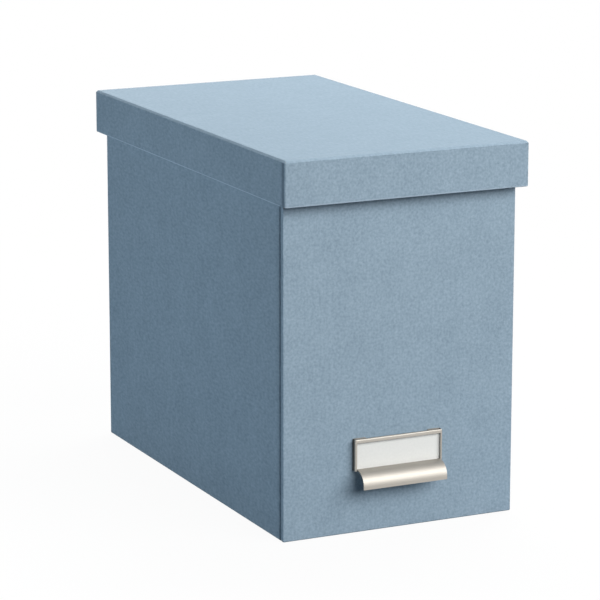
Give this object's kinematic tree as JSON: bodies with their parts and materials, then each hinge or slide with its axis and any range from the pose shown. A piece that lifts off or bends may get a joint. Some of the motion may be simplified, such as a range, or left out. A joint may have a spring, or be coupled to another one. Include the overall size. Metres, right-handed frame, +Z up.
{
  "type": "desktop file box",
  "caption": "Paper-covered board file box with a lift-off lid, rim rails for hanging files and a pressed metal label pull with a slide-in card on its front.",
  "frame": {"origin": "centre of the base face, on the surface that the box stands on", "axes": "+Z up, -Y out of the front with the pull, +X to the right seen from the front"},
  "size_m": [0.186, 0.3396, 0.2675],
  "materials": {
    "covering_paper": "matte, mottled fibre",
    "lining_paper": "matte",
    "greyboard": "raw greyboard",
    "satin_nickel": "satin nickel plate",
    "rail_steel": "zinc plate",
    "card": "smooth white card"
  },
  "bodies": {
    "box": {"front_board": "greyboard", "back_board": "greyboard", "left_board": "greyboard", "right_board": "greyboard", "base_board": "greyboard", "front_wrap": "covering_paper", "back_wrap": "covering_paper", "left_wrap": "covering_paper", "right_wrap": "covering_paper", "base_sheet": "covering_paper", "wall_lining": "lining_paper", "floor_lining": "lining_paper", "front_rail": "rail_steel", "back_rail": "rail_steel", "label_pull": "satin_nickel", "pull_rivets": "satin_nickel", "rivet_washers": "rail_steel"},
    "lid": {"lid_top_board": "greyboard", "lid_front_board": "greyboard", "lid_back_board": "greyboard", "lid_left_board": "greyboard", "lid_right_board": "greyboard", "lid_wrap": "covering_paper", "lid_lining": "lining_paper"},
    "card": {"label_card": "card"}
  },
  "joints": [
    {"name": "lid_lift", "type": "slide", "parent": "box", "child": "lid", "axis": [0, 0, 1], "range_m": [0, 0.2]},
    {"name": "card_slide", "type": "slide", "parent": "box", "child": "card", "axis": [0, 0, 1], "range_m": [0, 0.025]}
  ]
}
